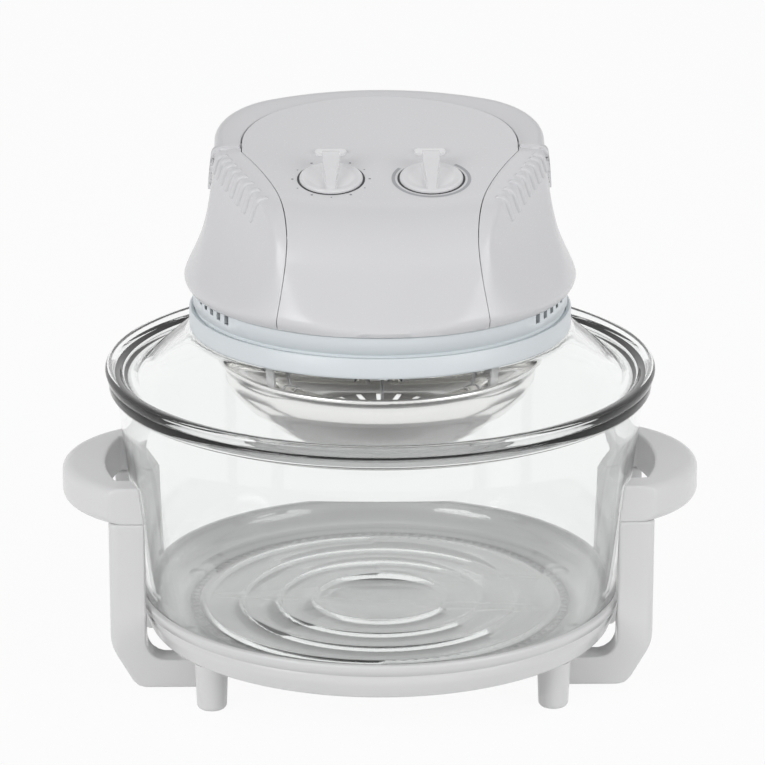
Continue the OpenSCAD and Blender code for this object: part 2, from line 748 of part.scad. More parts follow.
module control_cover() {
    color("whitesmoke") difference() {
        union() {
            intersection() {
                difference() {
                    head_form(0);
                    head_form(cover_t);
                }
                cover_block(-seam);
            }
            intersection() {
                on_top() translate([0, 0, -skirt_h]) linear_extrude(skirt_h - cover_t + 0.5) difference() {
                    cover_outline(-0.8);
                    cover_outline(-0.8 - skirt_t);
                    translate([-far / 2, -far]) square([far, far - 2]);
                }
                head_form(0.4);
            }
            on_top() for (x = [-knob_x, knob_x]) translate([x, knob_s, -4.2]) cylinder(r = 21.5, h = 3);
            on_top() for (side = [-1, 1]) scale([side, 1, 1]) translate([bail_r - bail_bar - 14, pivot_s, pivot_h])
                rotate([0, 90, 0]) cylinder(r = pin_d / 2 + 1, h = 12.6);
            on_top() for (side = [-1, 1]) scale([side, 1, 1])
                translate([bail_r - bail_bar - 14, pivot_s - 2.5, pivot_h]) cube([12.6, 5, 3]);
        }
        on_top() for (x = [-knob_x, knob_x]) translate([x, knob_s, 0]) {
            translate([0, 0, -1.6]) cylinder(r = knob_r + 0.8, h = 20);
            translate([0, 0, -10]) cylinder(r = control_shaft_d / 2 + 0.8, h = 20);
        }
        on_top() for (x = [-knob_x, knob_x]) translate([x, lens_s, -10]) linear_extrude(20) lens_outline(0.1);
        on_top() translate([-far / 2, pivot_s, pivot_h]) rotate([0, 90, 0])
            cylinder(r = pin_d / 2 + 0.02, h = far);
    }
}

// Space of the safety handle: everything above its underside, and its round front ends
module bail_space(gap) {
    on_top() difference() {
        union() {
            translate([-far / 2, pivot_s, -bail_t - gap]) cube([far, far, far]);
            translate([-far / 2, pivot_s, pivot_h]) rotate([0, 90, 0]) cylinder(r = hub_r + gap, h = far);
            translate([-far / 2, pivot_s - hub_r - gap, pivot_h]) cube([far, hub_r + gap + 1, far]);
        }
        translate([0, 0, -100]) linear_extrude(300) cover_outline(-0.8);
    }
}

// Floor under the handle and round its front ends
module bail_floor() {
    intersection() {
        on_top() difference() {
            union() {
                translate([-far / 2, pivot_s, -bail_t - 0.4 - cover_t]) cube([far, far, cover_t + 0.2]);
                translate([-far / 2, pivot_s, pivot_h]) rotate([0, 90, 0]) cylinder(r = hub_r + 0.4 + cover_t, h = far);
            }
            translate([0, 0, -100]) linear_extrude(300) cover_outline(0);
        }
        head_form(0.6);
    }
}

// Ribs over the shoulder in front of the handle
rib_first = -5.5;
rib_step = 7.6;
rib_w = 3.4;
rib_high = 0.9;

module shoulder_ribs() {
    intersection() {
        difference() {
            head_form(-rib_high);
            head_form(0.5);
        }
        on_top() for (i = [0:ribs - 1]) {
            s = rib_first - i * rib_step;
            ridge = sqrt(pow(neck_r - 7, 2) - s * s);
            translate([max(ridge - 9, cover_w(s) + 2.5), s - rib_w / 2, -12 - 0.5 * i])
                cube([30, rib_w, 20 + 0.5 * i]);
        }
    }
}

rear_w = 76;
plunger_x = -(bail_r - bail_bar) - 3.2;
plunger_s = 26;

module side_shell() {
    difference() {
        union() {
            intersection() {
                union() {
                    difference() {
                        head_form(0);
                        head_form(cover_t);
                    }
                    bail_floor();
                }
                difference() {
                    translate([0, -far / 2, 0]) cube([far, far, far]);
                    translate([-far / 2, 20, 0]) cube([far / 2 + rear_w / 2 + seam, far, far]);
                    cover_block(0);
                }
            }
            shoulder_ribs();
        }
        bail_space(0.4);
    }
}

module left_shell() {
    color("whitesmoke") difference() {
        mirror([1, 0, 0]) side_shell();
        on_top() translate([plunger_x, plunger_s, -60]) cylinder(r = 2.3, h = 80);
    }
}
module right_shell() { color("whitesmoke") side_shell(); }

gland_z = bulge_z + 12;
gland_y = back_y + 25;

module rear_cover() {
    color("whitesmoke") difference() {
        intersection() {
            union() {
                difference() {
                    head_form(0);
                    head_form(cover_t);
                }
                bail_floor();
            }
            translate([-rear_w / 2, 20, 0]) cube([rear_w, far, far]);
        }
        bail_space(0.4);
        cover_block(0);
        translate([0, 0, gland_z]) rotate([-90, 0, 0]) cylinder(r = 7.6, h = far);
        for (i = [-3:3]) if (abs(i) > 1) translate([i * 9 - 1.5, 20, bulge_z + 4]) cube([3, far, 22]);
        for (i = [-3:3]) translate([i * 9 - 1.5, 20, bulge_z + 34]) cube([3, far, 16]);
    }
}

module cord_gland() {
    color("white") translate([0, 0, gland_z]) rotate([-90, 0, 0]) difference() {
        union() {
            translate([0, 0, gland_y - 12]) cylinder(r = 7.5, h = 20);
            translate([0, 0, gland_y - 12]) cylinder(r = 10, h = 3);
        }
        cylinder(r = 3.6, h = far);
    }
}

module lens(x) {
    on_top() translate([x, lens_s, -cover_t - 1.2]) union() {
        linear_extrude(cover_t + 2.1) lens_outline(0);
        linear_extrude(1.1) lens_outline(1.2);
    }
}

module power_lens() { color([0.95, 0.95, 0.95]) lens(-knob_x); }
module heat_lens() { color([0.95, 0.95, 0.95]) lens(knob_x); }

module indicator_lamps() {
    color("orange") on_top() for (x = [-knob_x, knob_x]) translate([x, lens_s, -cover_t - 15]) {
        cylinder(r = 2.4, h = 11);
        translate([0, 0, 11]) sphere(2.4);
    }
}

// Controls under the cover
control_top = -4.5;

module timer_body() {
    color("silver") on_top() translate([-knob_x, knob_s, 0]) difference() {
        union() {
            translate([0, 0, control_top - 24]) cylinder(r = 21, h = 24);
            translate([-8, 14, control_top - 22]) cube([16, 12, 10]);
        }
        translate([0, 0, control_top - 12]) cylinder(r = control_shaft_d / 2 + shaft_gap, h = 20);
    }
}

module thermostat_body() {
    color("silver") on_top() translate([knob_x, knob_s, 0]) difference() {
        union() {
            translate([-14, -16, control_top - 18]) cube([28, 32, 18]);
            translate([0, 0, control_top - 24]) cylinder(r = 9, h = 8);
        }
        translate([0, 0, control_top - 12]) cylinder(r = control_shaft_d / 2 + shaft_gap, h = 20);
    }
}

module control_shaft(x) {
    on_top() translate([x, knob_s, control_top - 11]) cylinder(r = control_shaft_d / 2, h = 11 - control_top + 7);
}

module timer_shaft() { color("silver") control_shaft(-knob_x); }
module thermostat_shaft() { color("silver") control_shaft(knob_x); }

module knob(x) {
    grip_w = 10;
    rise = knob_h;
    on_top() translate([x, knob_s, 0]) difference() {
        union() {
            rotate_extrude() polygon(concat(
                [[0, -1.2], [knob_r, -1.2], [knob_r, 0.6]],
                arc(knob_r - 1.6, 0.6, 1.6, 0, 80, 4),
                [[knob_r - 5, 1.5], [0, 1.5]]
            ));
            intersection() {
                translate([-far / 2, 0, 0]) rotate([90, 0, 90]) linear_extrude(far) polygon([
                    [-knob_r + 1.5, 0], [-knob_r + 1.5, 2.2], [-knob_r + 5, 4.2], [-2, rise * 0.72],
                    [knob_r - 9, rise - 0.6], [knob_r - 5.5, rise], [knob_r - 3, rise - 0.8],
                    [knob_r - 2, rise - 3], [knob_r - 1.5, 0]
                ]);
                linear_extrude(far) polygon([
                    [-2.2, -knob_r], [2.2, -knob_r], [3.2, -knob_r * 0.4], [grip_w / 2, knob_r * 0.3],
                    [grip_w / 2, knob_r], [-grip_w / 2, knob_r], [-grip_w / 2, knob_r * 0.3], [-3.2, -knob_r * 0.4]
                ]);
            }
        }
        translate([0, 0, -10]) cylinder(r = control_shaft_d / 2 + 0.02, h = 17.2);
    }
}

module timer_knob() { color("white") knob(-knob_x); }
module thermostat_knob() { color("white") knob(knob_x); }

// Safety handle, lying down round the back of the cover; its sections lap a little where they meet
joint_lap = 0.03;

module bail_section() {
    w = bail_bar;
    t = bail_t;
    polygon(concat(
        [[0.6, -t], [w - 3.4, -t], [w - 0.8, -t + 2.4], [w, -t + 5.5], [w, -6]],
        arc(w - 6, -6, 6, 15, 80, 5),
        [[1.2, 0], [0.3, -0.4], [0, -1.4], [0, -t + 0.8]]
    ));
}

module bail_arm(from, to) {
    translate([bail_r - bail_bar, to, 0]) rotate([90, 0, 0]) linear_extrude(to - from) bail_section();
}

module safety_handle() {
    color("whitesmoke") on_top() difference() {
        union() {
            for (side = [0, 1]) mirror([side, 0, 0]) {
                bail_arm(pivot_s, corner_cy + joint_lap);
                intersection() {
                    bail_arm(pivot_s - hub_r, pivot_s);
                    translate([0, pivot_s, pivot_h]) rotate([0, 90, 0]) cylinder(r = hub_r, h = far);
                }
                translate([corner_cx, corner_cy, 0]) rotate_extrude(angle = corner_turn + joint_lap)
                    translate([bail_corner - bail_bar, 0]) bail_section();
            }
            translate([0, back_cy, 0]) rotate(corner_turn) rotate_extrude(angle = 180 - 2 * corner_turn)
                translate([bail_back_r - bail_bar, 0]) bail_section();
        }
        for (side = [-1, 1]) scale([side, 1, 1]) translate([bail_r - bail_bar - 2, pivot_s, pivot_h])
            rotate([0, 90, 0]) cylinder(r = pin_d / 2 + shaft_gap, h = 12);
    }
}

module pivot_pins() {
    color("silver") on_top() for (side = [-1, 1]) scale([side, 1, 1])
        translate([bail_r - bail_bar - 12, pivot_s, pivot_h]) rotate([0, 90, 0]) cylinder(r = pin_d / 2, h = 21.5);
}

module safety_switch() {
    color("dimgray") on_top() difference() {
        union() {
            translate([plunger_x - 3.4, plunger_s - 8, -bail_t - 17.3]) cube([9.5, 15, 13]);
            translate([plunger_x, plunger_s, -bail_t - 5]) cylinder(r = 3.2, h = 1.9);
        }
        translate([plunger_x, plunger_s, -bail_t - 12]) cylinder(r = 1.9 + shaft_gap, h = 20);
    }
}

module switch_plunger() {
    color("red") on_top() translate([plunger_x, plunger_s, -bail_t - 9]) cylinder(r = 1.9, h = 9 - seat_gap);
}

base_tray();
feet();
foot_screws();
bracket_screws();
front_left_bracket();
rear_left_bracket();
front_right_bracket();
rear_right_bracket();
left_grip();
right_grip();
glass_bowl();
glass_lid();
lid_gasket();
trim_ring();
head_base();
insulation_pad();
reflector();
head_screws();
heater_guard();
guard_posts();
halogen_lamp();
lamp_holders();
lamp_clips();
control_cover();
left_shell();
right_shell();
rear_cover();
cord_gland();
power_lens();
heat_lens();
indicator_lamps();
motor_frame();
motor_core();
motor_coil();
motor_top_bracket();
motor_bearings();
timer_body();
thermostat_body();
safety_switch();
terminal_block();
thermal_cutout();
pivot_pins();
motor_shaft();
hot_fan();
cooling_fan();
safety_handle();
switch_plunger();
timer_knob();
timer_shaft();
thermostat_knob();
thermostat_shaft();
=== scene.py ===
import json
import math

import bmesh
import bpy
import numpy as np
from mathutils import Matrix, Vector


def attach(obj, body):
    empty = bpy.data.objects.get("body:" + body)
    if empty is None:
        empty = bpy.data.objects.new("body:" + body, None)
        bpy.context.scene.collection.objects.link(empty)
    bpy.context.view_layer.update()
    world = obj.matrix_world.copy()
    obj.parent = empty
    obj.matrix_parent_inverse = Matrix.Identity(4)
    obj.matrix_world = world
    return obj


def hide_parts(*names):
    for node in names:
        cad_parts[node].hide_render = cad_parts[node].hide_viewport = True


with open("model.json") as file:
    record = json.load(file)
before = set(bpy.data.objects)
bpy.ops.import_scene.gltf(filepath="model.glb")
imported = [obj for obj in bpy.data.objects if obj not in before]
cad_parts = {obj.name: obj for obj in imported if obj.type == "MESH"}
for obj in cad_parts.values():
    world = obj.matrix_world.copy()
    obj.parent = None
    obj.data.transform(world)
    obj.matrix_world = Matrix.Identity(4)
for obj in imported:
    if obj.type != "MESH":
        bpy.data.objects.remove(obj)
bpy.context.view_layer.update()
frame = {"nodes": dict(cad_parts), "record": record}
nodes = frame["nodes"]
scene = bpy.context.scene
scene.view_settings.view_transform = "Standard"
mm = 0.001
print("frame loaded")

# Camera, as the photograph was taken
cameraView = {
    "distance": 2.405,      # along the table from the bowl's axis
    "height": 0.951,
    "pitch": 17.85,
    "turn": 1.1,            # the oven stands turned a little, so the camera goes round it
    "aside": 0.0014,
    "focalPixels": 4200,
    "imageWidth": 765,
    "sensor": 36.0,
}


def addCamera():
    lens = bpy.data.cameras.new("photoLens")
    lens.sensor_width = cameraView["sensor"]
    lens.lens = cameraView["sensor"] * cameraView["focalPixels"] / cameraView["imageWidth"]
    camera = bpy.data.objects.new("photoCamera", lens)
    turn = math.radians(cameraView["turn"])
    along = Vector((math.sin(turn), math.cos(turn), 0))
    across = Vector((math.cos(turn), -math.sin(turn), 0))
    camera.location = across * cameraView["aside"] - along * cameraView["distance"]
    camera.location.z = cameraView["height"]
    camera.rotation_euler = (math.radians(90 - cameraView["pitch"]), 0, -turn)
    scene.collection.objects.link(camera)
    scene.camera = camera


addCamera()

# Light: a pale world and three large soft lamps
studio = {
    "worldStrength": 0.50,
    "worldTop": (0.78, 0.78, 0.79, 1),
    "worldLow": (0.78, 0.78, 0.78, 1),
    "floorSize": 12.0,
    "floorColor": (0.86, 0.86, 0.86, 1),
    "floorGlow": 0.94,
    "lamps": {
        "keyLamp": {"place": (-2.0, -1.9, 1.35), "size": 1.6, "power": 30},
        "fillLamp": {"place": (2.2, -1.6, 1.15), "size": 1.8, "power": 24},
        "backLamp": {"place": (0.3, 1.6, 2.4), "size": 1.4, "power": 4},
    },
}


def addLamp(name, values):
    light = bpy.data.lights.new(name, "AREA")
    light.shape = "DISK"
    light.size = values["size"]
    light.energy = values["power"]
    lamp = bpy.data.objects.new(name, light)
    lamp.location = values["place"]
    aim = Vector((0, 0, 0.2)) - lamp.location
    lamp.rotation_euler = aim.to_track_quat("-Z", "Y").to_euler()
    scene.collection.objects.link(lamp)


def sumOfRays(tree, outputs):
    total = outputs[0]
    for output in outputs[1:]:
        add = tree.nodes.new("ShaderNodeMath")
        add.operation = "MAXIMUM"
        tree.links.new(total, add.inputs[0])
        tree.links.new(output, add.inputs[1])
        total = add.outputs[0]
    return total


def setWorld():
    world = bpy.data.worlds.new("softRoom")
    world.use_nodes = True
    tree = world.node_tree
    tree.nodes.clear()
    coords = tree.nodes.new("ShaderNodeTexCoord")
    split = tree.nodes.new("ShaderNodeSeparateXYZ")
    ramp = tree.nodes.new("ShaderNodeValToRGB")
    ramp.color_ramp.elements[0].position = 0.30
    ramp.color_ramp.elements[0].color = studio["worldLow"]
    ramp.color_ramp.elements[1].position = 0.75
    ramp.color_ramp.elements[1].color = studio["worldTop"]
    shift = tree.nodes.new("ShaderNodeMapRange")
    shift.inputs["From Min"].default_value = -1
    tree.links.new(coords.outputs["Generated"], split.inputs[0])
    tree.links.new(split.outputs["Z"], shift.inputs["Value"])
    tree.links.new(shift.outputs["Result"], ramp.inputs["Fac"])
    room = tree.nodes.new("ShaderNodeBackground")
    room.inputs["Strength"].default_value = studio["worldStrength"]
    tree.links.new(ramp.outputs["Color"], room.inputs["Color"])
    plain = tree.nodes.new("ShaderNodeBackground")
    plain.inputs["Color"].default_value = (1, 1, 1, 1)
    rays = tree.nodes.new("ShaderNodeLightPath")
    mix = tree.nodes.new("ShaderNodeMixShader")
    seen = sumOfRays(tree, [rays.outputs["Is Camera Ray"], rays.outputs["Is Transmission Ray"],
                            rays.outputs["Is Glossy Ray"]])
    tree.links.new(seen, mix.inputs["Fac"])
    tree.links.new(room.outputs[0], mix.inputs[1])
    tree.links.new(plain.outputs[0], mix.inputs[2])
    output = tree.nodes.new("ShaderNodeOutputWorld")
    tree.links.new(mix.outputs[0], output.inputs["Surface"])
    scene.world = world


def addFloor():
    material = bpy.data.materials.new("paleTable")
    material.use_nodes = True
    tree = material.node_tree
    tree.nodes.clear()
    matte = tree.nodes.new("ShaderNodeBsdfDiffuse")
    matte.inputs["Color"].default_value = studio["floorColor"]
    glow = tree.nodes.new("ShaderNodeEmission")
    glow.inputs["Strength"].default_value = 1.0
    rays = tree.nodes.new("ShaderNodeLightPath")
    seen = sumOfRays(tree, [rays.outputs["Is Camera Ray"], rays.outputs["Is Transmission Ray"],
                            rays.outputs["Is Glossy Ray"]])
    amount = tree.nodes.new("ShaderNodeMath")
    amount.operation = "MULTIPLY"
    amount.inputs[1].default_value = studio["floorGlow"]
    tree.links.new(seen, amount.inputs[0])
    mix = tree.nodes.new("ShaderNodeMixShader")
    tree.links.new(amount.outputs[0], mix.inputs["Fac"])
    tree.links.new(matte.outputs[0], mix.inputs[1])
    tree.links.new(glow.outputs[0], mix.inputs[2])
    output = tree.nodes.new("ShaderNodeOutputMaterial")
    tree.links.new(mix.outputs[0], output.inputs["Surface"])
    shape = bmesh.new()
    bmesh.ops.create_grid(shape, x_segments=1, y_segments=1, size=studio["floorSize"])
    mesh = bpy.data.meshes.new("table")
    shape.to_mesh(mesh)
    shape.free()
    table = bpy.data.objects.new("table", mesh)
    mesh.materials.append(material)
    scene.collection.objects.link(table)


setWorld()
addFloor()
for lampName, lampValues in studio["lamps"].items():
    addLamp(lampName, lampValues)
print("camera, floor and light in place")


# Materials
def addGroup(name, inputs, outputs):
    group = bpy.data.node_groups.new(name, "ShaderNodeTree")
    for label, kind, value in inputs:
        socket = group.interface.new_socket(label, in_out="INPUT", socket_type=kind)
        socket.default_value = value
    for label, kind in outputs:
        group.interface.new_socket(label, in_out="OUTPUT", socket_type=kind)
    return group, group.nodes.new("NodeGroupInput"), group.nodes.new("NodeGroupOutput")


toneDrift = {"size": 9.0, "detail": 3.0, "from": 0.3, "to": 0.7, "fineTimes": 20.0, "fineDetail": 2.0}


# Fine grain and a slow drift of tone, as moulded or rolled surfaces have
def makeSurfaceGroup():
    group, given, result = addGroup(
        "surfaceTone",
        [("Color", "NodeSocketColor", (0.8, 0.8, 0.8, 1)), ("Drift", "NodeSocketFloat", 0.03),
         ("Roughness", "NodeSocketFloat", 0.3), ("Spread", "NodeSocketFloat", 0.05),
         ("Size", "NodeSocketFloat", 60.0)],
        [("Color", "NodeSocketColor"), ("Roughness", "NodeSocketFloat"), ("Height", "NodeSocketFloat")])
    link = group.links.new
    coords = group.nodes.new("ShaderNodeTexCoord")
    slow = group.nodes.new("ShaderNodeTexNoise")
    slow.inputs["Scale"].default_value = toneDrift["size"]
    slow.inputs["Detail"].default_value = toneDrift["detail"]
    fine = group.nodes.new("ShaderNodeTexNoise")
    fine.inputs["Detail"].default_value = toneDrift["fineDetail"]
    scaleUp = group.nodes.new("ShaderNodeMath")
    scaleUp.operation = "MULTIPLY"
    scaleUp.inputs[1].default_value = toneDrift["fineTimes"]
    link(given.outputs["Size"], scaleUp.inputs[0])
    link(scaleUp.outputs[0], fine.inputs["Scale"])
    link(coords.outputs["Object"], slow.inputs["Vector"])
    link(coords.outputs["Object"], fine.inputs["Vector"])
    darker = group.nodes.new("ShaderNodeMapRange")
    darker.inputs["From Min"].default_value = toneDrift["from"]
    darker.inputs["From Max"].default_value = toneDrift["to"]
    darker.inputs["To Max"].default_value = 1.0
    link(slow.outputs["Fac"], darker.inputs["Value"])
    low = group.nodes.new("ShaderNodeMath")
    low.operation = "SUBTRACT"
    low.inputs[0].default_value = 1.0
    link(given.outputs["Drift"], low.inputs[1])
    link(low.outputs[0], darker.inputs["To Min"])
    shade = group.nodes.new("ShaderNodeVectorMath")
    shade.operation = "SCALE"
    link(given.outputs["Color"], shade.inputs[0])
    link(darker.outputs["Result"], shade.inputs["Scale"])
    link(shade.outputs[0], result.inputs["Color"])
    spread = group.nodes.new("ShaderNodeMath")
    spread.operation = "MULTIPLY_ADD"
    link(fine.outputs["Fac"], spread.inputs[0])
    link(given.outputs["Spread"], spread.inputs[1])
    link(given.outputs["Roughness"], spread.inputs[2])
    link(spread.outputs[0], result.inputs["Roughness"])
    link(fine.outputs["Fac"], result.inputs["Height"])
    return group


surfaceTone = makeSurfaceGroup()


def newMaterial(name):
    material = bpy.data.materials.new(name)
    material.use_nodes = True
    tree = material.node_tree
    return material, tree, tree.nodes["Principled BSDF"]


def tonedMaterial(name, values):
    material, tree, surface = newMaterial(name)
    tone = tree.nodes.new("ShaderNodeGroup")
    tone.node_tree = surfaceTone
    tone.inputs["Color"].default_value = values["color"] + (1,)
    tone.inputs["Drift"].default_value = values.get("drift", 0.02)
    tone.inputs["Roughness"].default_value = values["roughness"]
    tone.inputs["Spread"].default_value = values.get("spread", 0.05)
    tone.inputs["Size"].default_value = values.get("size", 60.0)
    tree.links.new(tone.outputs["Color"], surface.inputs["Base Color"])
    tree.links.new(tone.outputs["Roughness"], surface.inputs["Roughness"])
    bump = tree.nodes.new("ShaderNodeBump")
    bump.inputs["Strength"].default_value = values.get("grain", 0.02)
    bump.inputs["Distance"].default_value = 0.0002
    tree.links.new(tone.outputs["Height"], bump.inputs["Height"])
    tree.links.new(bump.outputs["Normal"], surface.inputs["Normal"])
    surface.inputs["Metallic"].default_value = values.get("metal", 0.0)
    surface.inputs["IOR"].default_value = values.get("ior", 1.46)
    return material


glassRipple = {"size": 14.0, "detail": 1.0, "strength": 0.03, "distance": 0.0015, "passes": 0.93}


def glassMaterial(name, values):
    material, tree, surface = newMaterial(name)
    surface.inputs["Base Color"].default_value = values["tint"] + (1,)
    surface.inputs["Roughness"].default_value = values["roughness"]
    surface.inputs["IOR"].default_value = values["ior"]
    surface.inputs["Transmission Weight"].default_value = 1.0
    coords = tree.nodes.new("ShaderNodeTexCoord")
    ripple = tree.nodes.new("ShaderNodeTexNoise")
    ripple.inputs["Scale"].default_value = glassRipple["size"]
    ripple.inputs["Detail"].default_value = glassRipple["detail"]
    bump = tree.nodes.new("ShaderNodeBump")
    bump.inputs["Strength"].default_value = glassRipple["strength"]
    bump.inputs["Distance"].default_value = glassRipple["distance"]
    tree.links.new(coords.outputs["Object"], ripple.inputs["Vector"])
    tree.links.new(ripple.outputs["Fac"], bump.inputs["Height"])
    tree.links.new(bump.outputs["Normal"], surface.inputs["Normal"])
    # Light that falls on what stands behind the glass passes it
    rays = tree.nodes.new("ShaderNodeLightPath")
    clear = tree.nodes.new("ShaderNodeBsdfTransparent")
    clear.inputs["Color"].default_value = (glassRipple["passes"],) * 3 + (1,)
    mix = tree.nodes.new("ShaderNodeMixShader")
    passed = sumOfRays(tree, [rays.outputs["Is Shadow Ray"], rays.outputs["Is Diffuse Ray"]])
    tree.links.new(passed, mix.inputs["Fac"])
    tree.links.new(surface.outputs[0], mix.inputs[1])
    tree.links.new(clear.outputs[0], mix.inputs[2])
    tree.links.new(mix.outputs[0], tree.nodes["Material Output"].inputs["Surface"])
    return material


finishes = {
    "whitePlastic": {"color": (0.84, 0.84, 0.84), "roughness": 0.22},
    "headPlastic": {"color": (0.77, 0.77, 0.785), "roughness": 0.24},
    "handlePlastic": {"color": (0.72, 0.72, 0.735), "roughness": 0.26},
    "knobPlastic": {"color": (0.84, 0.84, 0.85), "roughness": 0.18},
    "ringPlastic": {"color": (0.80, 0.85, 0.875), "roughness": 0.35},
    "silicone": {"color": (0.55, 0.55, 0.53), "roughness": 0.6},
    "fibrePad": {"color": (0.70, 0.68, 0.62), "roughness": 0.9, "grain": 0.4},
    "reflectorSheet": {"color": (0.93, 0.93, 0.92), "roughness": 0.26, "metal": 1.0},
    "polishedSteel": {"color": (0.93, 0.92, 0.91), "roughness": 0.16, "metal": 1.0, "spread": 0.04},
    "postEnamel": {"color": (0.84, 0.84, 0.84), "roughness": 0.3},
    "zincSteel": {"color": (0.60, 0.60, 0.61), "roughness": 0.3, "metal": 1.0},
    "ceramic": {"color": (0.78, 0.76, 0.70), "roughness": 0.5},
    "lensPlastic": {"color": (0.88, 0.88, 0.89), "roughness": 0.08},
    "motorIron": {"color": (0.10, 0.10, 0.11), "roughness": 0.5, "metal": 0.8},
    "copperWire": {"color": (0.42, 0.17, 0.07), "roughness": 0.35, "metal": 0.9},
    "bronze": {"color": (0.48, 0.33, 0.16), "roughness": 0.4, "metal": 1.0},
    "fanAluminium": {"color": (0.72, 0.72, 0.72), "roughness": 0.3, "metal": 1.0},
    "switchPlastic": {"color": (0.03, 0.03, 0.035), "roughness": 0.45},
    "plungerPlastic": {"color": (0.5, 0.03, 0.02), "roughness": 0.35},
    "dialInk": {"color": (0.23, 0.23, 0.25), "roughness": 0.5},
    # Near-black colour of the painted shade in the gaps round the knobs
    "gapShade": {"color": (0.05, 0.05, 0.055), "roughness": 0.6},
    "dialBand": {"color": (0.42, 0.43, 0.45), "roughness": 0.45},
}
glasses = {
    "clearGlass": {"tint": (0.955, 0.965, 0.96), "roughness": 0.0, "ior": 1.47},
    "quartz": {"tint": (0.97, 0.95, 0.92), "roughness": 0.03, "ior": 1.46},
    "neonGlass": {"tint": (0.95, 0.45, 0.2), "roughness": 0.05, "ior": 1.46},
}
materials = {name: tonedMaterial(name, values) for name, values in finishes.items()}
materials.update({name: glassMaterial(name, values) for name, values in glasses.items()})

slotFinish = {
    "white_plastic": "whitePlastic", "head_plastic": "headPlastic", "handle_plastic": "handlePlastic",
    "knob_plastic": "knobPlastic", "ring_plastic": "ringPlastic", "clear_glass": "clearGlass",
    "silicone": "silicone", "fibre_pad": "fibrePad", "reflector_sheet": "reflectorSheet",
    "polished_steel": "polishedSteel", "white_post": "postEnamel", "steel": "zincSteel",
    "lamp_glass": "quartz", "neon_glass": "neonGlass", "ceramic": "ceramic",
    "lens_plastic": "lensPlastic", "motor_laminations": "motorIron", "copper_winding": "copperWire",
    "bronze": "bronze", "fan_aluminium": "fanAluminium", "switch_plastic": "switchPlastic",
    "plunger_plastic": "plungerPlastic",
}
nodeSlot = {part["node"]: part["material_slot"] for part in frame["record"]["subparts"]}
nodeBody = {node: body for body, names in frame["record"]["behaviour"]["bodies"].items() for node in names}
for name, node in nodes.items():
    node.data.materials.clear()
    node.data.materials.append(materials[slotFinish[nodeSlot[name]]])
print("materials made")


mergeReach = 0.004 * mm


# Pieces
def copyOf(nodeName):
    shape = bmesh.new()
    shape.from_mesh(nodes[nodeName].data)
    bmesh.ops.remove_doubles(shape, verts=shape.verts, dist=mergeReach)
    return shape


def finishPiece(shape, name, nodeName, material=None, sharpAngle=35, stands=True):
    mesh = bpy.data.meshes.new(name)
    shape.to_mesh(mesh)
    shape.free()
    mesh.shade_smooth()
    mesh.set_sharp_from_angle(angle=math.radians(sharpAngle))
    piece = bpy.data.objects.new(name, mesh)
    mesh.materials.append(materials[material or slotFinish[nodeSlot[nodeName]]])
    scene.collection.objects.link(piece)
    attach(piece, nodeBody[nodeName])
    if stands:
        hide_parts(nodeName)
    return piece


# The head's form as one smooth level: 0 on its skin, more outside, in millimetres
headForm = {
    "top": 320.3,               # height of the tilted top face over the table, at the bowl's axis
    "tilt": math.radians(13),
    "neck": 97.9, "taper": 0.11, "skirt": 116.7,
    "bulge": 246.5, "flareReach": 21.2, "flarePower": 1.5,
    "tuck": 3.4, "tuckHeight": 7, "tuckPower": 2.1,
    "ridge": 97.1, "ridgeTurn": math.radians(24.6), "ridgeRound": 6.0,
    "wallLean": math.radians(14), "wallSweep": 0.0001, "roofLean": math.atan(0.2),
    "frontAxis": 113.0, "rollStart": -60.72, "roll": 46.0, "rollEnd": math.radians(147),
    "crown": 0.022, "crownStart": -15.0, "crownBlend": 6,
    "faceLean": 1.06, "faceFade": 0.41, "faceFadeReach": 6.5,
    "backAxis": 98.0, "back": 175.5, "backFlare": 40.0, "backReach": 42.0,
    "blend": 1.0,
}


def tiltedPlace(places):
    turned, up = places[:, 1], places[:, 2] - headForm["top"]
    cosine, sine = math.cos(headForm["tilt"]), math.sin(headForm["tilt"])
    return places[:, 0], turned * cosine + up * sine, up * cosine - turned * sine


def bellLevel(places):
    height = places[:, 2]
    over = np.clip(height - headForm["bulge"], 0, None)
    flare = headForm["skirt"] - headForm["neck"] - headForm["taper"] * (headForm["top"] - headForm["bulge"])
    power = (over / headForm["flareReach"]) ** headForm["flarePower"]
    flared = flare * np.exp(-power)
    radius = headForm["neck"] + headForm["taper"] * (headForm["top"] - headForm["bulge"] - over) + flared
    slope = headForm["taper"] + flared * headForm["flarePower"] * power / np.clip(over, 0.01, None)
    under = np.clip(headForm["bulge"] - height, 0, headForm["tuckHeight"]) / headForm["tuckHeight"]
    radius -= headForm["tuck"] * under ** headForm["tuckPower"]
    return (np.hypot(places[:, 0], places[:, 1]) - radius) / np.sqrt(1 + slope ** 2)


# The crowned top face, the roll over its front edge and the face below it
def frontLevel(across, along, rise):
    along = headForm["frontAxis"] - np.hypot(across, along - headForm["frontAxis"])
    start, roll, end = headForm["rollStart"], headForm["roll"], headForm["rollEnd"]
    blend, lean, fadeReach = headForm["crownBlend"], headForm["faceLean"], headForm["faceFadeReach"]
    behind = np.clip(along - headForm["crownStart"], -60, None)
    top = rise - headForm["crown"] * blend * np.log1p(np.exp(behind / blend))
    rolled = np.hypot(along - start, rise + roll) - roll
    lastAlong, lastRise = start + roll * math.cos(end), roll * (math.sin(end) - 1)
    drop = np.clip(lastRise - rise, 0, None)
    fade = headForm["faceFade"] * np.exp(-drop / fadeReach)
    face = lastAlong - drop * (lean - fade) - along
    face = face / np.sqrt(1 + (lean - fade * (1 - drop / fadeReach)) ** 2)
    onFace = np.clip((lastRise - rise) / 2 + 0.5, 0, 1)
    return np.where(along > start, top, rolled * (1 - onFace) + face * onFace)


